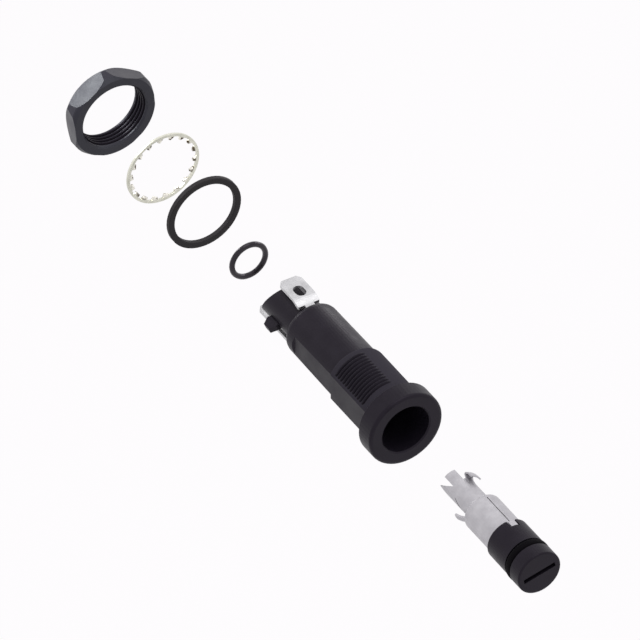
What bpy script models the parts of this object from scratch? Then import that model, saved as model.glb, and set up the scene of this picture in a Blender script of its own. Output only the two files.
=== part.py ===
"""Panel mount fuse holder, drawn apart along its axis.

The axis of every round piece lies on Y, with the panel side of the flange at y = 0. The knob
faces -Y and the terminals and the loose fixings lie toward +Y. Z is up. Lengths are in
millimetres up to the mesh builders, which turn them into metres. An angle round the axis is
counted from +Z toward -X, in degrees.
"""
import bpy
import bmesh
import math
from mathutils import Matrix, Vector

MM = 0.001

# Holder body
FLANGE_R, FLANGE_L = 10.6, 5.65
THREAD_R, THREAD_L = 8.5, 18.8
MID_FRONT_R, MID_REAR_R, MID_END = 7.8, 7.6, 41.0
TAIL_R, TAIL_END_TOP, TAIL_END_LOW = 5.7, 51.3, 57.4
MOUTH_R, MOUTH_DEPTH = 6.8, 9.0
BORE_R, BORE_DEPTH = 5.65, 37.6
FUSE_BORE_R, FUSE_BORE_DEPTH = 4.35, 49.6
LOCK_R, LOCK_FROM, LOCK_TO = 6.15, 22.3, 26.6
THREAD_FLAT, MID_FLAT, MID_FLAT_END = 7.6, 7.1, 36.5
TAIL_FLAT = 5.3
KEY_ANGLE, KEY_HALF = 116.0, 18.0
PEG_ANGLE, PEG_R = 112.0, 8.3

# Terminals
TAB_W, TAB_T, TAB_Z = 6.3, 0.8, 7.6
SIDE_TAB_END, END_TAB_END = 51.5, 61.5
TAB_HOLE_R, TAB_HOLE_L, TAB_HOLE_IN = 1.45, 4.0, 5.5
STRIP_W, STRIP_Z = 2.6, 6.6
SLOT_HALF, SLOT_LOW, SLOT_HIGH = 1.55, 5.9, 7.15

# Fixings behind the panel, with the places where the photograph draws them
RING_BORE_R = 8.85
GASKET_R, GASKET_L, GASKET_Y = 10.6, 1.5, 92.8
WASHER_R, WASHER_RIM, WASHER_T, WASHER_Y = 10.5, 9.75, 0.6, 113.0
WASHER_TEETH, TOOTH_TWIST = 18, 32.0
NUT_FLATS, NUT_REAR_FLATS, NUT_CORNER_R = 23.2, 21.6, 12.45
NUT_L, NUT_Y, NUT_BORE_R, NUT_TURN = 6.2, 136.5, 9.2, 5.0
O_RING_R, O_RING_WIRE, O_RING_Y = 4.875, 0.75, 70.8

# Fuse carrier, drawn where it sits when pushed home and then moved out along -Y
CARRIER_OUT = 62.65
CAP_R, CAP_FRONT, CAP_BACK = 6.15, -6.6, -2.55
GROOVE_R, BARREL_FRONT, BARREL_END = 5.0, 0.15, 8.45
BARREL_R, BARREL_IN_R, BARREL_FLOOR = 6.0, 5.53, 1.2
COIN_SLOT_L, COIN_SLOT_W, COIN_SLOT_D, COIN_SLOT_ANGLE = 9.2, 1.3, 1.7, 13.0
NOTCH_FROM, NOTCH_MIN, NOTCH_MAX = 6.0, -20.0, 5.0
SEAL_R = 6.2
SLEEVE_R, SLEEVE_WALL, SLEEVE_FRONT, SLEEVE_END = 5.25, 0.4, 1.7, 20.2
NECK_R, NECK_WALL, NECK_END = 3.475, 0.3, 30.35
FINGER_END, POINT_END, SEAM_ANGLE = 34.4, 35.1, -7.5
LUG_R, LUG_HALF = 5.8, 12.0
SPRING_R, SPRING_WIRE, SPRING_TURNS = 4.1, 0.42, 5.5
SPRING_FROM, SPRING_TO = 2.4, 12.4


def clear_scene():
    for obj in list(bpy.data.objects):
        bpy.data.objects.remove(obj, do_unlink=True)


def material(name, colour, roughness, metallic=0.0):
    mat = bpy.data.materials.new(name)
    mat.use_nodes = True
    shader = mat.node_tree.nodes["Principled BSDF"]
    shader.inputs["Base Color"].default_value = (*colour, 1.0)
    shader.inputs["Roughness"].default_value = roughness
    shader.inputs["Metallic"].default_value = metallic
    return mat


def finish_mesh(name, bm, mat=None, y=0.0, smooth=True, parent=None):
    """Turn a bmesh drawn in millimetres into an object whose origin is on the axis at y."""
    bmesh.ops.recalc_face_normals(bm, faces=bm.faces[:])
    bmesh.ops.scale(bm, vec=(MM, MM, MM), verts=bm.verts[:])
    mesh = bpy.data.meshes.new(name)
    bm.to_mesh(mesh)
    bm.free()
    if smooth:
        mesh.shade_smooth()
        mesh.set_sharp_from_angle(angle=math.radians(32))
    obj = bpy.data.objects.new(name, mesh)
    if mat:
        mesh.materials.append(mat)
    obj.location = (0.0, y * MM, 0.0)
    obj.parent = parent
    bpy.context.collection.objects.link(obj)
    return obj


def round_axis(radius, angle, y):
    a = math.radians(angle)
    return Vector((-radius * math.sin(a), y, radius * math.cos(a)))


def turned(profile, steps=64, start=0.0, sweep=360.0):
    """A profile of (radius, y) points, closed on itself, turned round the axis."""
    bm = bmesh.new()
    verts = [bm.verts.new(round_axis(r, start, y)) for r, y in profile]
    edges = [bm.edges.new((a, b)) for a, b in zip(verts, verts[1:] + verts[:1])]
    bmesh.ops.spin(bm, geom=verts + edges, cent=(0, 0, 0), axis=(0, -1, 0),
                   angle=math.radians(sweep), steps=steps, use_duplicate=False)
    bmesh.ops.remove_doubles(bm, verts=bm.verts[:], dist=1e-4)
    if sweep < 360.0:
        bmesh.ops.holes_fill(bm, edges=[e for e in bm.edges if e.is_boundary], sides=0)
    return bm


def prism(outline, low, high, axes="xyz"):
    """An outline in the first two axes, drawn from low to high along the third."""
    place = [axes.index(c) for c in "xyz"]
    bm = bmesh.new()
    verts = []
    for u, v in outline:
        point = (u, v, low)
        verts.append(bm.verts.new([point[i] for i in place]))
    face = bm.faces.new(verts)
    out = bmesh.ops.extrude_face_region(bm, geom=[face])
    step = (0.0, 0.0, high - low)
    moved = [v for v in out["geom"] if isinstance(v, bmesh.types.BMVert)]
    bmesh.ops.translate(bm, verts=moved, vec=[step[i] for i in place])
    return bm


def box(x0, x1, y0, y1, z0, z1):
    return prism([(x0, y0), (x1, y0), (x1, y1), (x0, y1)], z0, z1)


def combined(target, name, bm, operation="DIFFERENCE", y=0.0, parent=None):
    """Cut or join a hidden guide shape with an object by a Boolean modifier."""
    guide = finish_mesh(name, bm, y=y, smooth=False, parent=parent)
    guide.hide_render = True
    guide.display_type = "WIRE"
    mod = target.modifiers.new(name, "BOOLEAN")
    mod.operation = operation
    mod.solver = "EXACT"
    mod.object = guide
    return guide


def arc(centre, radius, start, end, count):
    """Points (radius, y) on an arc. Angle 0 points outward and 90 points toward +Y."""
    points = []
    for i in range(count + 1):
        a = math.radians(start + (end - start) * i / count)
        points.append((centre[0] + radius * math.cos(a), centre[1] + radius * math.sin(a)))
    return points


def bent(points, radius, count=3):
    """Round the inner corners of a line of points, as sheet metal bends."""
    line = [Vector(points[0])]
    for before, here, after in zip(points, points[1:], points[2:]):
        here = Vector(here)
        into, out = (Vector(before) - here), (Vector(after) - here)
        reach = min(radius, into.length * 0.45, out.length * 0.45)
        a, b = here + into.normalized() * reach, here + out.normalized() * reach
        for i in range(count + 1):
            t = i / count
            line.append((1 - t) ** 2 * a + 2 * t * (1 - t) * here + t ** 2 * b)
    line.append(Vector(points[-1]))
    return line


def thick(line, thickness):
    """A closed outline that follows a line at half the thickness on either side."""
    left, right = [], []
    for i, here in enumerate(line):
        before, after = line[max(i - 1, 0)], line[min(i + 1, len(line) - 1)]
        way = (after - before).normalized()
        side = Vector((-way.y, way.x)) * thickness / 2
        left.append(here + side)
        right.append(here - side)
    return [tuple(p) for p in left + right[::-1]]


def sector(profile, middle, half, steps):
    return turned(profile, steps=steps, start=middle - half, sweep=2 * half)


def make_body(mat):
    """The moulded holder: flange, thread section, middle, tail, and the stepped bore."""
    front = -FLANGE_L
    profile = [(MOUTH_R + 0.35, front)]
    profile += [(FLANGE_R - 0.85, front)] + arc((FLANGE_R - 0.8, front + 0.8), 0.8, -60, 0, 3)
    profile += [(FLANGE_R, -0.3), (FLANGE_R - 0.3, 0.0), (THREAD_R, 0.0)]
    profile += [(THREAD_R, THREAD_L - 0.5)] + arc((THREAD_R - 0.5, THREAD_L - 0.5), 0.5, 30, 90, 2)
    profile += [(MID_FRONT_R, THREAD_L + 0.15), (MID_REAR_R, MID_END - 1.6)]
    profile += arc((MID_REAR_R - 1.6, MID_END - 1.6), 1.6, 22, 90, 4)
    profile += [(TAIL_R - 0.1, MID_END), (TAIL_R, MID_END + 0.1)]
    profile += [(TAIL_R, TAIL_END_LOW + 1.0), (0.0, TAIL_END_LOW + 1.0)]
    profile += [(0.0, FUSE_BORE_DEPTH), (FUSE_BORE_R, FUSE_BORE_DEPTH)]
    profile += [(FUSE_BORE_R, BORE_DEPTH), (BORE_R, BORE_DEPTH), (BORE_R, LOCK_TO)]
    profile += [(LOCK_R, LOCK_TO), (LOCK_R, LOCK_FROM), (BORE_R, LOCK_FROM)]
    profile += [(BORE_R, MOUTH_DEPTH), (MOUTH_R, MOUTH_DEPTH), (MOUTH_R, front + 0.35)]
    body = finish_mesh("holder_body", turned(profile, 60), mat)
    for side in (-1, 1):
        cut_side_flat(body, side)
        cut_tail_flat(body, side)
        cut_terminal_slot(body, side)
    cut_tail_end(body)
    cut_keyway(body)
    add_peg(body)
    return body


def cut_side_flat(body, side):
    """The two flats that keep the holder from turning in its panel hole."""
    outline = [(THREAD_FLAT, 0.7), (14.0, 0.7), (14.0, MID_FLAT_END + 0.9)]
    outline += [(MID_FLAT + 0.9, MID_FLAT_END + 0.9), (MID_FLAT, MID_FLAT_END)]
    outline += [(MID_FLAT, THREAD_L + 0.1), (THREAD_FLAT, THREAD_L - 0.5)]
    outline = [(side * x, y) for x, y in outline]
    combined(body, f"cut_side_flat_{side}", prism(outline, -14.0, 14.0))


def cut_tail_flat(body, side):
    z0, z1 = sorted((side * TAIL_FLAT, side * 9.0))
    rear = TAIL_END_LOW + 2.0
    combined(body, f"cut_tail_flat_{side}", box(-9, 9, MID_END + 0.45, rear, z0, z1))


def cut_tail_end(body):
    """The tail is cut off on a slant, longer below, where it backs the longer tab."""
    middle = (TAIL_END_TOP + TAIL_END_LOW) / 2
    slant = (TAIL_END_LOW - TAIL_END_TOP) / (2 * TAIL_R)
    rear = TAIL_END_LOW + 4.0
    outline = [(middle - slant * 8.0, 8.0), (middle + slant * 8.0, -8.0)]
    combined(body, "cut_tail_end", prism(outline + [(rear, -8.0), (rear, 8.0)], -8, 8, "yzx"))


def cut_terminal_slot(body, side):
    """The groove in the bore and the slot in the shoulder that a terminal's strip runs in."""
    groove_from = 12.4 if side > 0 else 35.4
    z0, z1 = sorted((side * 4.6, side * SLOT_HIGH))
    combined(body, f"cut_strip_groove_{side}",
             box(-SLOT_HALF, SLOT_HALF, groove_from, BORE_DEPTH + 0.01, z0, z1))
    z0, z1 = sorted((side * (SLOT_LOW + 0.2), side * (SLOT_HIGH - 0.02)))
    half = SLOT_HALF - 0.02
    combined(body, f"cut_shoulder_slot_{side}",
             box(-half, half, BORE_DEPTH - 1.0, MID_END + 0.6, z0, z1))


def cut_keyway(body):
    """The keyway lets the lug of the fuse clip pass to the locking groove."""
    profile = [(5.0, MOUTH_DEPTH - 1.0), (LOCK_R - 0.01, MOUTH_DEPTH - 1.0)]
    profile += [(LOCK_R - 0.01, LOCK_FROM + 0.4), (5.0, LOCK_FROM + 0.4)]
    combined(body, "cut_keyway", sector(profile, KEY_ANGLE, KEY_HALF, 6))


def add_peg(body):
    """The small wedge under the tail, on one side only."""
    base, tip = (47.0, 51.2), (47.8, 50.0)
    outline = [(base[0], 5.3), (base[1] - 0.6, 5.3), (base[1], 6.4)]
    outline += [(tip[1], PEG_R), (tip[0], PEG_R), (base[0], 6.4)]
    bm = prism(outline, -0.9, 0.9, axes="yzx")
    turn = Matrix.Rotation(math.radians(-PEG_ANGLE), 3, "Y")
    bmesh.ops.rotate(bm, verts=bm.verts[:], cent=(0, 0, 0), matrix=turn)
    combined(body, "join_peg", bm, "UNION")


def tab_plan(strip_end, tab_end):
    """Plan of a terminal: chamfered quick-connect tab, shoulders, narrow strip."""
    half, strip = TAB_W / 2, STRIP_W / 2
    outline = [(strip, strip_end), (strip, 41.35), (half - 0.2, 41.35), (half, 41.6)]
    outline += [(half, tab_end - 1.3), (half - 1.0, tab_end)]
    return outline + [(-x, y) for x, y in outline[::-1]]


def make_terminal(name, mat, side, line, tab_end):
    """A stamped terminal: the bent sheet, cut to its plan, with the hole near its end."""
    line = [(tab_end + 0.5, TAB_Z), (43.9, TAB_Z), (41.2, STRIP_Z)] + line
    strip_end = line[-1][0] - 0.1
    outline = [(y, side * z) for y, z in thick(bent(line, 0.9), TAB_T)]
    sheet = prism(outline, -TAB_W / 2 - 0.5, TAB_W / 2 + 0.5, axes="yzx")
    terminal = finish_mesh(name, sheet, mat)
    z0, z1 = sorted((side * 4.0, side * 10.0))
    combined(terminal, f"plan_{name}", prism(tab_plan(strip_end, tab_end), z0, z1), "INTERSECT")
    middle, reach = tab_end - TAB_HOLE_IN, TAB_HOLE_L / 2 - TAB_HOLE_R
    hole = arc((0.0, middle + reach), TAB_HOLE_R, 0, 180, 8)
    hole += arc((0.0, middle - reach), TAB_HOLE_R, 180, 360, 8)
    combined(terminal, f"hole_{name}", prism(hole, z0, z1))
    return terminal


def make_side_terminal(mat):
    """The upper tab, whose strip runs forward and bows in to touch the carrier's sleeve."""
    line = [(21.6, STRIP_Z), (19.0, 6.35), (16.4, 6.1), (14.6, 6.35), (13.0, STRIP_Z)]
    return make_terminal("side_terminal", mat, 1, line, SIDE_TAB_END)


def make_end_terminal(mat):
    """The lower tab, whose strip hooks round the shoulder wall to the fuse's end."""
    terminal = make_terminal("end_terminal", mat, -1, [(36.9, STRIP_Z)], END_TAB_END)
    inner = [(37.25, -6.9), (36.85, -4.2), (37.6, -3.75), (46.3, -3.75), (47.2, -3.0)]
    inner += [(47.0, 0.0), (47.4, 2.4)]
    outline = thick(bent(inner, 0.7), 0.6)
    half = STRIP_W / 2 - 0.02
    combined(terminal, "join_end_contact", prism(outline, -half, half, axes="yzx"), "UNION")
    return terminal


def make_gasket(mat):
    half, edge = GASKET_L / 2, 0.2
    profile = [(RING_BORE_R, -half + edge), (RING_BORE_R + edge, -half)]
    profile += [(GASKET_R - edge, -half), (GASKET_R, -half + edge), (GASKET_R, half - edge)]
    profile += [(GASKET_R - edge, half), (RING_BORE_R + edge, half), (RING_BORE_R, half - edge)]
    return finish_mesh("panel_gasket", turned(profile, 52), mat, y=GASKET_Y)


def make_lock_washer(mat):
    """A thin ring whose inner teeth are each twisted about their own length."""
    half = WASHER_T / 2
    profile = [(WASHER_RIM, -half), (WASHER_R, -half), (WASHER_R, half), (WASHER_RIM, half)]
    steps = WASHER_TEETH * 4
    bm = turned(profile, steps)
    bm.faces.ensure_lookup_table()
    step = 360.0 / steps
    for face in [f for f in bm.faces if is_inner_wall(f)]:
        centre = face.calc_center_median()
        angle = math.degrees(math.atan2(-centre.x, centre.z)) % 360.0
        slot = int(angle // step) % 4
        if slot not in (0, 1):
            continue
        face.tag = True
    for tooth in range(WASHER_TEETH):
        raise_tooth(bm, (tooth * 4 + 1) * step, step)
    return finish_mesh("lock_washer", bm, mat, y=WASHER_Y, smooth=False)


def is_inner_wall(face):
    return all(abs(math.hypot(v.co.x, v.co.z) - WASHER_RIM) < 1e-3 for v in face.verts)


def raise_tooth(bm, angle, step):
    """Pull two wall faces inward to the tooth's tip and twist them."""
    middle = round_axis(1.0, angle, 0.0)
    walls = []
    for face in bm.faces:
        if face.tag and is_inner_wall(face):
            centre = face.calc_center_median()
            way = Vector((centre.x, 0.0, centre.z)).normalized()
            if way.dot(middle) > math.cos(math.radians(step)):
                walls.append(face)
    out = bmesh.ops.extrude_face_region(bm, geom=walls)
    tips = [v for v in out["geom"] if isinstance(v, bmesh.types.BMVert)]
    for v in tips:
        out_by = v.co.dot(middle)
        v.co += middle * (RING_BORE_R + 0.02 - out_by)
    across = middle.cross(Vector((0, 1, 0)))
    bmesh.ops.delete(bm, geom=[f for f in walls if f.is_valid], context="FACES_ONLY")
    centre = middle * RING_BORE_R
    for v in tips:
        side = (v.co - centre).dot(across)
        v.co -= across * side * 0.25
    turn = Matrix.Rotation(math.radians(TOOTH_TWIST), 3, middle)
    bmesh.ops.rotate(bm, verts=tips, cent=centre, matrix=turn)
    for f in bm.faces:
        if f.tag and not is_inner_wall(f):
            f.tag = False


def hexagon(flats):
    """Corner points of the nut's hexagon, one of them close to straight up."""
    corner = flats / math.sqrt(3.0)
    angles = [math.radians(60 * i - NUT_TURN) for i in range(6)]
    return [(corner * math.sin(a), corner * math.cos(a)) for a in angles]


def make_nut(mat):
    """A moulded hexagon nut: tapered flats, a round front face, corners turned off behind."""
    bm = bmesh.new()
    ends = []
    for y, flats in ((0.0, NUT_FLATS), (NUT_L, NUT_REAR_FLATS)):
        ends.append([bm.verts.new((x, y, z)) for x, z in hexagon(flats)])
    for i in range(6):
        k = (i + 1) % 6
        bm.faces.new((ends[0][i], ends[0][k], ends[1][k], ends[1][i]))
    for end in ends:
        bm.faces.new(end)
    nut = finish_mesh("hex_nut", bm, mat, y=NUT_Y)
    nut.data.set_sharp_from_angle(angle=math.radians(20))
    rim = NUT_CORNER_R
    lathe = [(0.0, -0.01), (NUT_FLATS / 2 + 0.1, -0.01), (rim - 0.15, 0.9), (rim, 1.3)]
    lathe += [(rim, NUT_L - 1.9), (rim - 0.25, NUT_L - 1.5), (NUT_REAR_FLATS / 2, NUT_L + 0.01)]
    combined(nut, "turn_nut", turned(lathe + [(0.0, NUT_L + 0.01)], 60), "INTERSECT", y=NUT_Y)
    bore = [(0.0, -1.0), (NUT_BORE_R + 1.4, -1.0), (NUT_BORE_R, 0.45), (NUT_BORE_R, NUT_L - 0.4)]
    bore += [(NUT_BORE_R + 1.4, NUT_L + 1.0), (0.0, NUT_L + 1.0)]
    combined(nut, "cut_nut_bore", turned(bore, 56), y=NUT_Y)
    return nut


def make_o_ring(mat):
    profile = arc((O_RING_R, 0.0), O_RING_WIRE, 0, 324, 9)
    return finish_mesh("o_ring", turned(profile, 40), mat, y=O_RING_Y)


def make_cap(mat, parent):
    """The knob: round cap with a coin slot, groove for its seal, and the barrel."""
    profile = [(0.0, CAP_FRONT), (CAP_R - 0.5, CAP_FRONT)]
    profile += arc((CAP_R - 0.4, CAP_FRONT + 0.4), 0.4, -50, 0, 2)
    profile += [(CAP_R, CAP_BACK), (GROOVE_R, CAP_BACK), (GROOVE_R, BARREL_FRONT)]
    profile += [(BARREL_R, BARREL_FRONT), (BARREL_R - 0.05, BARREL_END)]
    profile += [(BARREL_IN_R, BARREL_END), (BARREL_IN_R, BARREL_FLOOR), (0.0, BARREL_FLOOR)]
    cap = finish_mesh("carrier_cap", turned(profile, 56), mat, parent=parent)
    half, width = COIN_SLOT_L / 2, COIN_SLOT_W / 2
    slot = prism([(-half, -width), (half, -width), (half, width), (-half, width)],
                 CAP_FRONT - 1.0, CAP_FRONT + COIN_SLOT_D, axes="xzy")
    turn = Matrix.Rotation(math.radians(-COIN_SLOT_ANGLE), 3, "Y")
    bmesh.ops.rotate(slot, verts=slot.verts[:], cent=(0, 0, 0), matrix=turn)
    combined(cap, "cut_coin_slot", slot, parent=parent)
    middle, spread = (NOTCH_MIN + NOTCH_MAX) / 2, (NOTCH_MAX - NOTCH_MIN) / 2
    profile = [(5.3, NOTCH_FROM), (7.0, NOTCH_FROM), (7.0, 9.5), (5.3, 9.5)]
    combined(cap, "cut_notch", sector(profile, middle, spread, 6), parent=parent)
    return cap


def make_seal(mat, parent):
    gap, root = 0.27, GROOVE_R + 0.25
    y0, y1 = CAP_BACK + gap, BARREL_FRONT - gap
    profile = [(root, y0), (SEAL_R - 0.35, y0), (SEAL_R - 0.08, y0 + 0.25), (SEAL_R, y0 + 0.7)]
    profile += [(SEAL_R, y1 - 0.7), (SEAL_R - 0.08, y1 - 0.25), (SEAL_R - 0.35, y1), (root, y1)]
    return finish_mesh("carrier_seal", turned(profile, 56), mat, parent=parent)


def make_clip(mat, parent):
    """The stamped fuse clip: wide sleeve, rolled shoulder, slit neck and its fingers."""
    inner, neck_in = SLEEVE_R - SLEEVE_WALL, NECK_R - NECK_WALL
    edge = 0.9
    outer = [(SLEEVE_R, SLEEVE_FRONT)]
    outer += arc((SLEEVE_R - edge, SLEEVE_END), edge, 0, 70, 5)
    outer += [(NECK_R + 0.35, SLEEVE_END + 1.15), (NECK_R, SLEEVE_END + 1.6)]
    back = [(neck_in, POINT_END), (neck_in, SLEEVE_END + 1.5), (neck_in + 0.35, SLEEVE_END + 0.8)]
    back += [(inner - 0.7, SLEEVE_END + 0.45), (inner, SLEEVE_END - 0.1)]
    back += [(inner, SLEEVE_FRONT)]
    profile = outer + [(NECK_R, POINT_END)] + back
    clip = finish_mesh("fuse_clip", turned(profile, 42), mat, parent=parent)
    cut_neck(clip, parent)
    cut_seam(clip, parent)
    join_hook(clip, parent)
    join_lug(clip, parent)
    join_ear(clip, parent)
    return clip


def ramped(start, stop, y_low, y_high, steps=6):
    """A guide through the neck's wall between two angles, whose y range changes on the way."""
    bm = bmesh.new()
    rings = []
    for i in range(steps + 1):
        t = i / steps
        y0 = y_low[0] + (y_low[1] - y_low[0]) * t
        y1 = y_high[0] + (y_high[1] - y_high[0]) * t
        corners = [(2.6, y0), (4.6, y0), (4.6, y1), (2.6, y1)]
        angle = start + (stop - start) * t
        rings.append([bm.verts.new(round_axis(r, angle, y)) for r, y in corners])
    for one, two in zip(rings, rings[1:]):
        for k in range(4):
            m = (k + 1) % 4
            bm.faces.new((one[k], one[m], two[m], two[k]))
    bm.faces.new(rings[0])
    bm.faces.new(rings[-1])
    return bm


def cut_neck(clip, parent):
    """Trim the neck's end to a straight finger, a pointed blade and the hook's root."""
    top = POINT_END + 1.0
    cuts = {
        "end_straight": ramped(-6.0, 49.0, (FINGER_END, FINGER_END), (top, top)),
        "end_blade": ramped(48.0, 100.0, (NECK_END, POINT_END), (top, top)),
        "end_blade_back": ramped(99.0, 136.0, (POINT_END, NECK_END), (top, top)),
        "end_low": ramped(135.0, 174.0, (NECK_END, NECK_END), (top, top), 4),
        "end_back": ramped(173.0, 229.0, (FINGER_END, FINGER_END), (top, top)),
        "end_hook": ramped(228.0, 355.0, (NECK_END, NECK_END), (top, top), 10),
        "slit_blade": ramped(80.0, 128.0, (27.9, 23.4), (28.2, 25.3)),
        "slit_low": ramped(148.0, 153.0, (24.6, 24.6), (top, top), 2),
        "slit_back": ramped(268.0, 273.0, (24.6, 24.6), (top, top), 2),
    }
    for name, bm in cuts.items():
        combined(clip, name, bm, parent=parent)


def cut_seam(clip, parent):
    """The open seam where the rolled sheet meets."""
    bm = box(-0.11, 0.11, SLEEVE_FRONT - 1.0, SLEEVE_END - 0.6, 4.4, 6.0)
    turn = Matrix.Rotation(math.radians(-SEAM_ANGLE), 3, "Y")
    bmesh.ops.rotate(bm, verts=bm.verts[:], cent=(0, 0, 0), matrix=turn)
    combined(clip, "cut_seam", bm, parent=parent)


def join_hook(clip, parent):
    """The finger that curls out and forward beside the neck's rim."""
    line = [(NECK_R - 0.15, 29.2), (NECK_R, 30.3), (4.25, 31.55), (5.05, 30.4), (5.1, 28.8)]
    profile = thick(bent(line, 0.8), 0.4)
    combined(clip, "join_hook", sector(profile, 320.0, 21.0, 7), "UNION", parent=parent)


def join_lug(clip, parent):
    """The bayonet lug, bent out of the shoulder."""
    line = [(4.3, 20.7), (4.35, 22.2), (5.0, 23.1), (LUG_R - 0.25, 24.7)]
    profile = thick(bent(line, 0.6), 0.5)
    combined(clip, "join_lug", sector(profile, KEY_ANGLE, LUG_HALF, 4), "UNION", parent=parent)


def join_ear(clip, parent):
    """An ear beside the seam that fills the notch of the barrel and turns with it."""
    profile = [(SLEEVE_R - 0.2, 6.35), (5.85, 6.35), (5.85, 8.2), (SLEEVE_R - 0.2, 8.9)]
    middle, half = (NOTCH_MIN + NOTCH_MAX) / 2, (NOTCH_MAX - NOTCH_MIN) / 2 - 3.5
    combined(clip, "join_ear", sector(profile, middle, half, 4), "UNION", parent=parent)


def make_spring(mat, parent):
    """The coil that presses the contact cup on the fuse."""
    bm = bmesh.new()
    steps, sides = int(SPRING_TURNS * 16), 5
    span = SPRING_TO - SPRING_FROM - 2 * SPRING_WIRE
    rings = []
    for i in range(steps + 1):
        t = i / steps
        angle = 360.0 * SPRING_TURNS * t
        y = SPRING_FROM + SPRING_WIRE + span * t
        ring = []
        for k in range(sides):
            a = 2 * math.pi * k / sides
            radius = SPRING_R + SPRING_WIRE * math.cos(a)
            ring.append(bm.verts.new(round_axis(radius, angle, y + SPRING_WIRE * math.sin(a))))
        rings.append(ring)
    for one, two in zip(rings, rings[1:]):
        for k in range(sides):
            bm.faces.new((one[k], one[(k + 1) % sides], two[(k + 1) % sides], two[k]))
    bm.faces.new(rings[0])
    bm.faces.new(rings[-1])
    return finish_mesh("carrier_spring", bm, mat, parent=parent)


def make_cup(mat, parent):
    """The contact cup between the spring and the fuse's front cap."""
    profile = [(0.0, 13.0), (2.9, 13.0), (2.9, 10.4), (3.3, 10.4), (3.3, 12.7), (4.55, 12.7)]
    profile += [(4.6, 13.0), (4.6, 13.3), (3.5, 13.6), (1.2, 13.6), (0.8, 13.9), (0.0, 13.95)]
    return finish_mesh("contact_cup", turned(profile, 32), mat, parent=parent)


def main():
    clear_scene()
    plastic = material("black_plastic", (0.016, 0.016, 0.018), 0.38)
    nut_plastic = material("nut_plastic", (0.022, 0.022, 0.026), 0.42)
    rubber = material("black_rubber", (0.012, 0.012, 0.012), 0.72)
    seal_rubber = material("seal_rubber", (0.006, 0.006, 0.006), 0.8)
    tin = material("tin_plate", (0.80, 0.80, 0.78), 0.34, 1.0)
    nickel = material("nickel_plate", (0.66, 0.66, 0.66), 0.36, 1.0)
    zinc = material("zinc_plate", (0.86, 0.86, 0.85), 0.28, 1.0)
    brass = material("brass", (0.72, 0.56, 0.28), 0.3, 1.0)
    steel = material("spring_steel", (0.58, 0.58, 0.60), 0.3, 1.0)

    make_body(plastic)
    make_side_terminal(tin)
    make_end_terminal(tin)
    make_gasket(rubber)
    make_lock_washer(zinc)
    make_nut(nut_plastic)
    make_o_ring(rubber)

    carrier = bpy.data.objects.new("carrier_place", None)
    carrier.location = (0.0, -CARRIER_OUT * MM, 0.0)
    bpy.context.collection.objects.link(carrier)
    make_cap(plastic, carrier)
    make_seal(seal_rubber, carrier)
    make_clip(nickel, carrier)
    make_spring(steel, carrier)
    make_cup(brass, carrier)


main()
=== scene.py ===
"""The looks of the panel mount fuse holder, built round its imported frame.

Every length is in metres unless its name ends in MM. The axis of all round pieces lies on Y:
the knob faces -Y, the nut is at the +Y end and Z is up. An angle round the axis is in degrees,
counted from +Z toward -X.
"""
import math

import bmesh
import bpy
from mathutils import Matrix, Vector

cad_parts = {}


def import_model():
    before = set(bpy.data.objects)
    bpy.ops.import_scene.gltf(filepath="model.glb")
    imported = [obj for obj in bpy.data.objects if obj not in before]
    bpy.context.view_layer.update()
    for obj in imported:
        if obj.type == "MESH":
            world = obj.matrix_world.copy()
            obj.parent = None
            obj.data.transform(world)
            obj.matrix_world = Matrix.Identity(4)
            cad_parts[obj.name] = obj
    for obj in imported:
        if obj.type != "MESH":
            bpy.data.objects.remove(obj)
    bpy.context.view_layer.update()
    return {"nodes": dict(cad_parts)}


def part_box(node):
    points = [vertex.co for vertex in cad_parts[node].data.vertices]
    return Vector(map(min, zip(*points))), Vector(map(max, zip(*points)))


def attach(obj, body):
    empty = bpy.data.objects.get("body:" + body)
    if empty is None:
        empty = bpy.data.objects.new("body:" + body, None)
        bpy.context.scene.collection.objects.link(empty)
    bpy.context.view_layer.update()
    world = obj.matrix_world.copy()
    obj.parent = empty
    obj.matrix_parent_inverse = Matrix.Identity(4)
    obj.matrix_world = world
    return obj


MM = 0.001

# Camera: seen from in front of the knob, from the left and above. A much longer lens would put
# the object past the far clip of the views from other sides.
AZIMUTH, ELEVATION = -31.0, 40.2
DISTANCE, FAR_CLIP, SENSOR, VIEW_WIDTH = 6.0, 20.0, 36.0, 0.160
AIM_ALONG_AXIS, AIM_ASIDE = 40.2 * MM, 2.9 * MM

# Finishes: the darker and the lighter tone of each surface
BODY_BLACK = (0.0080, 0.0064, 0.0108), (0.0125, 0.0104, 0.0162)
NUT_BLACK = (0.0150, 0.0132, 0.0200), (0.0250, 0.0230, 0.0320)
GASKET_BLACK = (0.012, 0.0115, 0.011), (0.026, 0.025, 0.0235)
RING_BLACK = (0.0045, 0.0043, 0.0048), (0.0085, 0.0082, 0.0090)
SEAL_BLACK = (0.0012, 0.0010, 0.0016), (0.0030, 0.0026, 0.0036)
NICKEL = (0.47, 0.46, 0.485), (0.55, 0.54, 0.565)
TIN = (0.50, 0.50, 0.51), (0.62, 0.62, 0.63)
BRASS = (0.66, 0.50, 0.24), (0.78, 0.62, 0.32)
STEEL = (0.52, 0.52, 0.54), (0.66, 0.66, 0.68)
ZINC_PLATE = (0.62, 0.62, 0.53), (0.76, 0.755, 0.66)
# The teeth's dark tone is painted shade and dark reflection, spotted over their flanks.
ZINC_TEETH = (0.10, 0.08, 0.05), (0.88, 0.86, 0.78)
WASHER_RIM_MM = 9.75

# The tint of the sheen, and the painted shade deep in a groove, as a share of the plastic's own
# dark tone, with the roughness there
PLASTIC_SHEEN, NUT_SHEEN = (0.95, 0.84, 1.0, 1.0), (0.86, 0.93, 1.0, 1.0)
PAINTED_GROOVE_SHADE, GROOVE_ROUGHNESS = 0.15, 0.8

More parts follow.
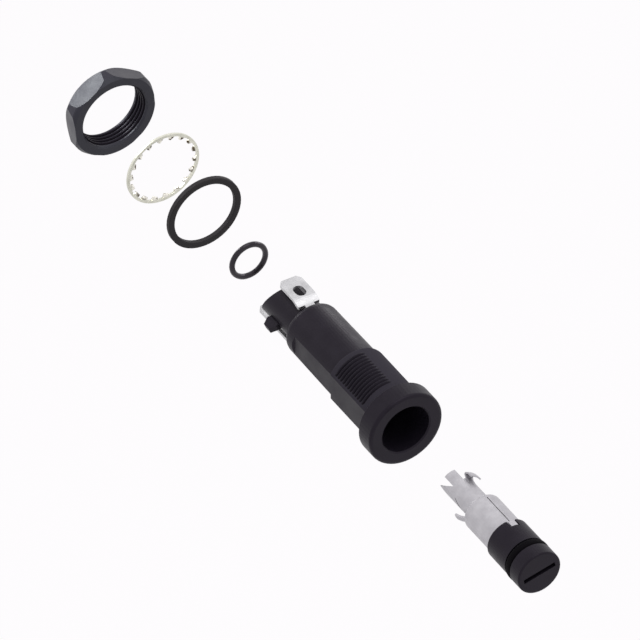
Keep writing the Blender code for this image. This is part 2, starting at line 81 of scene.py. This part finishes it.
# Stage and lamps. A lamp has a name, place, size, power in watts and target.
FLOOR_BELOW, FLOOR_HALF = 0.16, 3.0
FLOOR_GREY, FLOOR_ROUGHNESS, FLOOR_GLOW = 0.86, 0.9, 0.95
BACKDROP = (1.0, 0.985, 1.0, 1.0)
ROOM_LIGHT = 0.60
LAMPS = (
    ("overhead", (0.20, -0.20, 1.2), (1.0, 1.0), 5.0, (0.0, 0.02, 0.0)),
    ("body_band", (0.059, 0.098, 0.027), (0.05, 0.03), 0.011, (0.002, 0.040, 0.0075)),
    ("nut_facet", (-0.0285, 0.173, 0.040), (0.03, 0.03), 0.040, (-0.006, 0.140, 0.010)),
)

# The holder's threaded section: its middle and half length along the axis, the distance of its
# two flats from the axis, and the look of its round outside
SECTION_MIDDLE_MM, SECTION_HALF_MM, SECTION_FLAT_MM = 9.5, 9.5, 7.6
SECTION_BLACK, SECTION_ROUGHNESS = (0.0335, 0.0302, 0.0405), 0.85

# Threads of the holder and the nut. A ridge starts a little below the surface that it stands on.
PITCH_MM = 1.15
RIDGE_HALF_MM, RIDGE_CREST_HALF_MM, RIDGE_SUNK_MM = 0.56, 0.12, 0.06
RIDGE_SMOOTH_ANGLE = 25.0
CORE_R_MM, CREST_R_MM = 8.5, 8.78
THREAD_FROM_MM, THREAD_TO_MM = 2.8, 17.2
THREAD_ARCS = ((-8.0, 58.0), (172.0, 238.0))
# Painted shade in the holder's grooves: full up to the first distance toward the lit side, down to
# its least share at the second.
LIT_WAY, SHADE_FULL_MM, SHADE_LEAST_MM, SHADE_LEAST = (0.8, 0.0, 0.6), 0.5, 6.0, 0.15
NUT_BORE_R_MM, NUT_CREST_R_MM = 9.2, 8.83
NUT_LIP_FRONT_MM, NUT_LIP_REAR_MM = 1.0, 0.7


def link(obj):
    bpy.context.scene.collection.objects.link(obj)
    return obj


def thread_object(name, bm, mat):
    """Turn a thread drawn in millimetres into a shaded object."""
    bmesh.ops.recalc_face_normals(bm, faces=bm.faces[:])
    bmesh.ops.scale(bm, vec=(MM, MM, MM), verts=bm.verts[:])
    mesh = bpy.data.meshes.new(name)
    bm.to_mesh(mesh)
    bm.free()
    mesh.materials.append(mat)
    mesh.shade_smooth()
    mesh.set_sharp_from_angle(angle=math.radians(RIDGE_SMOOTH_ANGLE))
    return link(bpy.data.objects.new(name, mesh))


def round_axis(radius, angle, y):
    a = math.radians(angle)
    return Vector((-radius * math.sin(a), y, radius * math.cos(a)))


# Materials

class Nodes:
    """A small helper that adds nodes to a material and joins their sockets."""

    def __init__(self, name):
        self.mat = bpy.data.materials.new(name)
        self.mat.use_nodes = True
        self.tree = self.mat.node_tree
        self.shader = self.tree.nodes["Principled BSDF"]
        places = self.tree.nodes.new("ShaderNodeTexCoord").outputs
        self.coords, self.normal = places["Object"], places["Normal"]

    def join(self, a, b):
        self.tree.links.new(a, b)

    def stretched(self, scale):
        node = self.tree.nodes.new("ShaderNodeMapping")
        node.inputs["Scale"].default_value = scale
        self.join(self.coords, node.inputs["Vector"])
        return node.outputs["Vector"]

    def vector(self, operation, first, second, output="Vector"):
        """One step of vector arithmetic. The second value is a socket or three numbers."""
        node = self.tree.nodes.new("ShaderNodeVectorMath")
        node.operation = operation
        self.join(first, node.inputs[0])
        if isinstance(second, bpy.types.NodeSocket):
            self.join(second, node.inputs[1])
        elif second:
            node.inputs[1].default_value = second
        return node.outputs[output]

    def across(self):
        """The place in the plane across the axis."""
        return self.vector("MULTIPLY", self.coords, (1.0, 0.0, 1.0))

    def place_toward(self, direction):
        """How far the place lies in one direction, in metres."""
        return self.vector("DOT_PRODUCT", self.coords, direction, "Value")

    def arithmetic(self, operation, *values):
        """One step of plain arithmetic on sockets and numbers."""
        node = self.tree.nodes.new("ShaderNodeMath")
        node.operation = operation
        for socket, value in zip(node.inputs, values):
            if isinstance(value, bpy.types.NodeSocket):
                self.join(value, socket)
            else:
                socket.default_value = value
        return node.outputs[0]

    def out_from_axis(self, near_mm, far_mm):
        """0 at the first radius and 1 at the second, which may be the smaller one."""
        length = self.vector("LENGTH", self.across(), None, "Value")
        return self.ranged(length, 0.0, 1.0, near_mm * MM, far_mm * MM)

    def turned_inward(self):
        """1 on the walls of a bore, which look toward the axis, and 0 elsewhere."""
        way = self.vector("NORMALIZE", self.across(), None)
        facing = self.vector("DOT_PRODUCT", way, self.normal, "Value")
        return self.ranged(facing, 0.0, 1.0, -0.25, -0.6)

    def mixed(self, share, first, second):
        """Blend from the first colour to the second by a value. Either is a socket or numbers."""
        node = self.tree.nodes.new("ShaderNodeMix")
        node.data_type = "RGBA"
        self.join(share, node.inputs["Factor"])
        for socket, value in zip((node.inputs[6], node.inputs[7]), (first, second)):
            if isinstance(value, bpy.types.NodeSocket):
                self.join(value, socket)
            else:
                socket.default_value = (*value, 1.0)
        return node.outputs[2]

    def noise(self, scale, detail=3.0, roughness=0.5, coords=None):
        node = self.tree.nodes.new("ShaderNodeTexNoise")
        node.inputs["Scale"].default_value = scale
        node.inputs["Detail"].default_value = detail
        node.inputs["Roughness"].default_value = roughness
        self.join(coords or self.coords, node.inputs["Vector"])
        return node.outputs["Fac"]

    def ramp(self, value, stops):
        node = self.tree.nodes.new("ShaderNodeValToRGB")
        elements = node.color_ramp.elements
        while len(elements) < len(stops):
            elements.new(0.5)
        for element, (place, colour) in zip(elements, stops):
            element.position = place
            element.color = (*colour, 1.0) if len(colour) == 3 else colour
        self.join(value, node.inputs["Fac"])
        return node.outputs["Color"]

    def ranged(self, value, low, high, from_low=0.3, from_high=0.7):
        node = self.tree.nodes.new("ShaderNodeMapRange")
        for name, number in (("From Min", from_low), ("From Max", from_high),
                             ("To Min", low), ("To Max", high)):
            node.inputs[name].default_value = number
        self.join(value, node.inputs["Value"])
        return node.outputs["Result"]

    def bump(self, height, strength, distance, under=None):
        node = self.tree.nodes.new("ShaderNodeBump")
        node.inputs["Strength"].default_value = strength
        node.inputs["Distance"].default_value = distance
        self.join(height, node.inputs["Height"])
        if under:
            self.join(under, node.inputs["Normal"])
        return node.outputs["Normal"]

    def use(self, **sockets):
        """Set shader sockets by name, to a number or colour, or join them to an output."""
        for name, value in sockets.items():
            socket = self.shader.inputs[name.replace("_", " ")]
            if isinstance(value, bpy.types.NodeSocket):
                self.join(value, socket)
            else:
                socket.default_value = value
        return self.mat


def moulded_plastic(name, dark, light, rough, specular, shade=None, sheen=PLASTIC_SHEEN,
                    matt=None):
    """Black moulded plastic: fine spark grain, faint flow clouds and a soft gloss.

    The shade says where the plastic lies in a groove or a bore and gets little light, and darkens
    the colour there as painted shade; matt says where it is rougher.
    """
    n = Nodes(name)
    cloud = n.noise(220.0, 4.0)
    grain = n.noise(5200.0, 3.0, 0.6)
    colour = n.ramp(cloud, [(0.3, dark), (0.7, light)])
    roughness = n.ranged(cloud, rough - 0.07, rough + 0.07)
    if matt:
        share = matt(n)
        colour = n.mixed(share, colour, SECTION_BLACK)
        roughness = n.arithmetic("MAXIMUM", roughness,
                                 n.arithmetic("MULTIPLY", share, SECTION_ROUGHNESS))
    if shade:
        # Painted shade: in grooves and bores the colour darkens toward a share of the dark tone.
        groove_shade = shade(n)
        colour = n.mixed(groove_shade, colour, [PAINTED_GROOVE_SHADE * c for c in dark])
        roughness = n.ranged(groove_shade, rough, GROOVE_ROUGHNESS, 0.0, 1.0)
    normal = n.bump(grain, 0.35, 0.02 * MM, n.bump(cloud, 0.25, 0.06 * MM))
    return n.use(Base_Color=colour, Roughness=roughness, Normal=normal,
                 Specular_IOR_Level=specular, Specular_Tint=sheen)


def threaded_section(n):
    """1 on the round outside of the holder's threaded section, and 0 on its flats and elsewhere."""
    along = n.arithmetic("COMPARE", n.place_toward((0.0, 1.0, 0.0)),
                         SECTION_MIDDLE_MM * MM, SECTION_HALF_MM * MM)
    round_part = n.arithmetic("COMPARE", n.place_toward((1.0, 0.0, 0.0)),
                              0.0, (SECTION_FLAT_MM - 0.05) * MM)
    outside = n.out_from_axis(SECTION_FLAT_MM - 0.4, SECTION_FLAT_MM - 0.2)
    return n.arithmetic("MULTIPLY", outside, n.arithmetic("MULTIPLY", along, round_part))


def rubber(name, dark, light, rough, specular):
    n = Nodes(name)
    dust = n.noise(1800.0, 5.0, 0.65)
    colour = n.ramp(dust, [(0.35, dark), (0.75, light)])
    normal = n.bump(n.noise(6500.0, 2.0), 0.3, 0.02 * MM)
    return n.use(Base_Color=colour, Roughness=n.ranged(dust, rough - 0.08, rough + 0.08),
                 Normal=normal, Specular_IOR_Level=specular,
                 Specular_Tint=PLASTIC_SHEEN)


def plated_metal(name, dark, light, rough_low, rough_high, stretch, metallic=1.0, inner=None):
    """Plated sheet: rolling streaks along the stretch, soft clouds and handling marks.

    The inner side of a sheet rolled round the axis may have a lower metallic share.
    """
    n = Nodes(name)
    streaks = n.noise(1.0, 4.0, 0.6, n.stretched(stretch))
    cloud = n.noise(420.0, 3.0)
    marks = n.noise(2600.0, 4.0, 0.7)
    colour = n.ramp(cloud, [(0.32, dark), (0.68, light)])
    if inner is not None:
        metallic = n.ranged(n.turned_inward(), metallic, inner, 0.0, 1.0)
    rough = n.ranged(streaks, rough_low, rough_high)
    normal = n.bump(streaks, 0.22, 0.03 * MM, n.bump(marks, 0.16, 0.03 * MM))
    return n.use(Base_Color=colour, Roughness=rough, Normal=normal, Metallic=metallic)


def toothed_zinc(name, rim_mm):
    """Cream zinc plate; inside the rim the tooth flanks carry dark spots of painted shade and
    painted dark reflection.
    """
    n = Nodes(name)
    cloud, shade_spots = n.noise(500.0, 3.0), n.noise(900.0, 2.0, 0.4)
    plate = n.ramp(cloud, [(0.3, ZINC_PLATE[0]), (0.7, ZINC_PLATE[1])])
    # Painted shade and dark reflection: dark spots on the teeth, mixed in inside the rim.
    teeth = n.ramp(shade_spots, [(0.44, ZINC_TEETH[0]), (0.56, ZINC_TEETH[1])])
    colour = n.mixed(n.out_from_axis(rim_mm - 0.25, rim_mm), teeth, plate)
    normal = n.bump(n.noise(2600.0, 4.0, 0.7), 0.2, 0.03 * MM)
    return n.use(Base_Color=colour, Roughness=0.4, Normal=normal, Metallic=0.8)


def paint(frame):
    """Give every CAD node its material.

    Plastics and rubbers take a roughness and a specular level. Metals take the least and the
    greatest roughness, the stretch of their streaks and their metallic share.
    """
    black = moulded_plastic("black_plastic", *BODY_BLACK, 0.40, 0.17)
    body_black = moulded_plastic("body_plastic", *BODY_BLACK, 0.40, 0.17, matt=threaded_section)
    nut_black = moulded_plastic("nut_plastic", *NUT_BLACK, 0.36, 0.28, sheen=NUT_SHEEN)
    gasket = rubber("gasket_rubber", *GASKET_BLACK, 0.62, 0.26)
    ring = rubber("ring_rubber", *RING_BLACK, 0.22, 0.42)
    seal = rubber("seal_rubber", *SEAL_BLACK, 0.66, 0.05)
    nickel = plated_metal("nickel_plate", *NICKEL, 0.42, 0.54, (2600.0, 180.0, 2600.0), 0.86, 0.30)
    tin = plated_metal("tin_plate", *TIN, 0.30, 0.46, (2200.0, 150.0, 2200.0), 0.9)
    zinc = toothed_zinc("zinc_plate", WASHER_RIM_MM)
    brass = plated_metal("turned_brass", *BRASS, 0.22, 0.36, (400.0, 4000.0, 400.0))
    steel = plated_metal("spring_steel", *STEEL, 0.20, 0.34, (2000.0, 2000.0, 2000.0))
    finishes = {
        "holder_body": body_black, "carrier_cap": black, "hex_nut": nut_black,
        "side_terminal": tin, "end_terminal": tin, "panel_gasket": gasket,
        "lock_washer": zinc, "o_ring": ring, "carrier_seal": seal, "fuse_clip": nickel,
        "carrier_spring": steel, "contact_cup": brass,
    }
    for node, mat in finishes.items():
        obj = frame["nodes"][node]
        obj.data.materials.clear()
        obj.data.materials.append(mat)


# Threads

def ridge(bm, root, crest, start, stop, y_at, step=4.0, taper=7.0):
    """One closed ridge along a helical arc. Its crest sinks to the root at both ends."""
    count = max(2, round((stop - start) / step))
    rings = []
    for i in range(count + 1):
        angle = start + (stop - start) * i / count
        edge = min(angle - start, stop - angle)
        rise = min(1.0, 0.12 + edge / taper)
        top, y = root + (crest - root) * rise, y_at(angle)
        spots = [(root, y - RIDGE_HALF_MM), (top, y - RIDGE_CREST_HALF_MM),
                 (top, y + RIDGE_CREST_HALF_MM), (root, y + RIDGE_HALF_MM)]
        rings.append([bm.verts.new(round_axis(r, angle, yy)) for r, yy in spots])
    for one, two in zip(rings, rings[1:]):
        for k in range(4):
            m = (k + 1) % 4
            bm.faces.new((one[k], one[m], two[m], two[k]))
    bm.faces.new(rings[0])
    bm.faces.new(rings[-1][::-1])


def holder_thread():
    """The interrupted thread: ridges on two opposite arcs, with smooth sides between."""
    def groove_shade(n):
        """Painted shade: full in the grooves, and fading toward the end of the ridges that lies
        more open, toward the light.
        """
        fade = n.ranged(n.place_toward(LIT_WAY), 1.0, SHADE_LEAST,
                        SHADE_FULL_MM * MM, SHADE_LEAST_MM * MM)
        return n.arithmetic("MULTIPLY", n.out_from_axis(CREST_R_MM, CORE_R_MM), fade)
    mat = moulded_plastic("thread_plastic", *BODY_BLACK, 0.40, 0.09, groove_shade)
    bm = bmesh.new()
    turns = int((THREAD_TO_MM - THREAD_FROM_MM) / PITCH_MM)
    for first, last in THREAD_ARCS:
        for turn in range(turns):
            def y_at(angle, turn=turn, first=first):
                return THREAD_TO_MM - PITCH_MM * (turn + 0.5 + (angle - first) / 360.0)
            ridge(bm, CORE_R_MM - RIDGE_SUNK_MM, CREST_R_MM, first, last, y_at)
    return thread_object("holder_thread", bm, mat)


def nut_thread():
    """The nut's internal thread, one helix that fades out at both ends."""
    # Painted shade in the grooves between the nut's ridges.
    def groove_shade(n):
        return n.out_from_axis(NUT_CREST_R_MM + 0.04, NUT_BORE_R_MM - 0.06)
    mat = moulded_plastic("nut_thread_plastic", *BODY_BLACK, 0.34, 0.06, groove_shade)
    low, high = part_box("hex_nut")
    y0, y1 = low.y / MM + NUT_LIP_FRONT_MM, high.y / MM - NUT_LIP_REAR_MM
    turns = (y1 - y0) / PITCH_MM
    bm = bmesh.new()

    def y_at(angle):
        return y1 - PITCH_MM * angle / 360.0
    ridge(bm, NUT_BORE_R_MM + RIDGE_SUNK_MM, NUT_CREST_R_MM, 0.0, 360.0 * turns, y_at,
          step=5.0, taper=40.0)
    return thread_object("nut_thread", bm, mat)


# Stage, lamps and camera

def background_rays(tree):
    """1 for a ray that shows the background: to the camera, mirrored or seen through glass."""
    rays = tree.nodes.new("ShaderNodeLightPath")
    value = rays.outputs["Is Camera Ray"]
    for kind in ("Is Glossy Ray", "Is Transmission Ray"):
        most = tree.nodes.new("ShaderNodeMath")
        most.operation = "MAXIMUM"
        tree.links.new(value, most.inputs[0])
        tree.links.new(rays.outputs[kind], most.inputs[1])
        value = most.outputs[0]
    return value


def white_stage():
    """A white floor well below the floating pieces. To the camera it is close to plain white."""
    mesh = bpy.data.meshes.new("floor")
    h, z = FLOOR_HALF, -FLOOR_BELOW
    mesh.from_pydata([(-h, -h, z), (h, -h, z), (h, h, z), (-h, h, z)], [], [(0, 1, 2, 3)])
    floor = link(bpy.data.objects.new("floor", mesh))
    mat = bpy.data.materials.new("white_floor")
    mat.use_nodes = True
    tree = mat.node_tree
    diffuse = tree.nodes["Principled BSDF"]
    diffuse.inputs["Base Color"].default_value = (FLOOR_GREY, FLOOR_GREY, FLOOR_GREY, 1.0)
    diffuse.inputs["Roughness"].default_value = FLOOR_ROUGHNESS
    glow = tree.nodes.new("ShaderNodeEmission")
    glow.inputs["Color"].default_value = BACKDROP
    share = tree.nodes.new("ShaderNodeMath")
    share.operation = "MULTIPLY"
    share.inputs[1].default_value = FLOOR_GLOW
    mix = tree.nodes.new("ShaderNodeMixShader")
    tree.links.new(background_rays(tree), share.inputs[0])
    tree.links.new(share.outputs[0], mix.inputs["Fac"])
    tree.links.new(diffuse.outputs[0], mix.inputs[1])
    tree.links.new(glow.outputs[0], mix.inputs[2])
    tree.links.new(mix.outputs[0], tree.nodes["Material Output"].inputs["Surface"])
    mesh.materials.append(mat)


def white_world():
    world = bpy.data.worlds.new("studio")
    bpy.context.scene.world = world
    world.use_nodes = True
    tree = world.node_tree
    room = tree.nodes["Background"]
    room.inputs["Color"].default_value = (1.0, 1.0, 1.0, 1.0)
    room.inputs["Strength"].default_value = ROOM_LIGHT
    seen = tree.nodes.new("ShaderNodeBackground")
    seen.inputs["Color"].default_value = BACKDROP
    seen.inputs["Strength"].default_value = 1.0
    mix = tree.nodes.new("ShaderNodeMixShader")
    tree.links.new(background_rays(tree), mix.inputs["Fac"])
    tree.links.new(room.outputs[0], mix.inputs[1])
    tree.links.new(seen.outputs[0], mix.inputs[2])
    tree.links.new(mix.outputs[0], tree.nodes["World Output"].inputs["Surface"])


def softbox(name, place, size, power, target):
    """A rectangular lamp that looks at its target and that no camera sees."""
    lamp = bpy.data.lights.new(name, "AREA")
    lamp.shape = "RECTANGLE"
    lamp.size, lamp.size_y = size
    lamp.energy = power
    obj = link(bpy.data.objects.new(name, lamp))
    obj.visible_camera = False
    obj.location = place
    obj.rotation_euler = (Vector(target) - Vector(place)).to_track_quat("-Z", "Y").to_euler()


def camera():
    a, e = math.radians(AZIMUTH), math.radians(ELEVATION)
    back = Vector((math.sin(a) * math.cos(e), -math.cos(a) * math.cos(e), math.sin(e)))
    right = Vector((math.cos(a), math.sin(a), 0.0))
    up = back.cross(right)
    knob_way = Vector((0.0, -1.0, 0.0))
    along = Vector((knob_way.dot(right), knob_way.dot(up))).normalized()
    aside = right * -along.y + up * along.x
    aim = Vector((0.0, AIM_ALONG_AXIS, 0.0)) + aside * AIM_ASIDE
    data = bpy.data.cameras.new("camera")
    data.sensor_width = SENSOR
    data.lens = SENSOR * DISTANCE / VIEW_WIDTH
    data.clip_end = FAR_CLIP
    obj = link(bpy.data.objects.new("camera", data))
    obj.location = aim + back * DISTANCE
    obj.rotation_euler = back.to_track_quat("Z", "Y").to_euler()
    bpy.context.scene.camera = obj


def main():
    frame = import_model()
    bpy.context.scene.view_settings.view_transform = "Standard"
    camera()
    white_stage()
    white_world()
    for lamp in LAMPS:
        softbox(*lamp)
    paint(frame)
    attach(holder_thread(), "holder")
    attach(nut_thread(), "nut")


main()
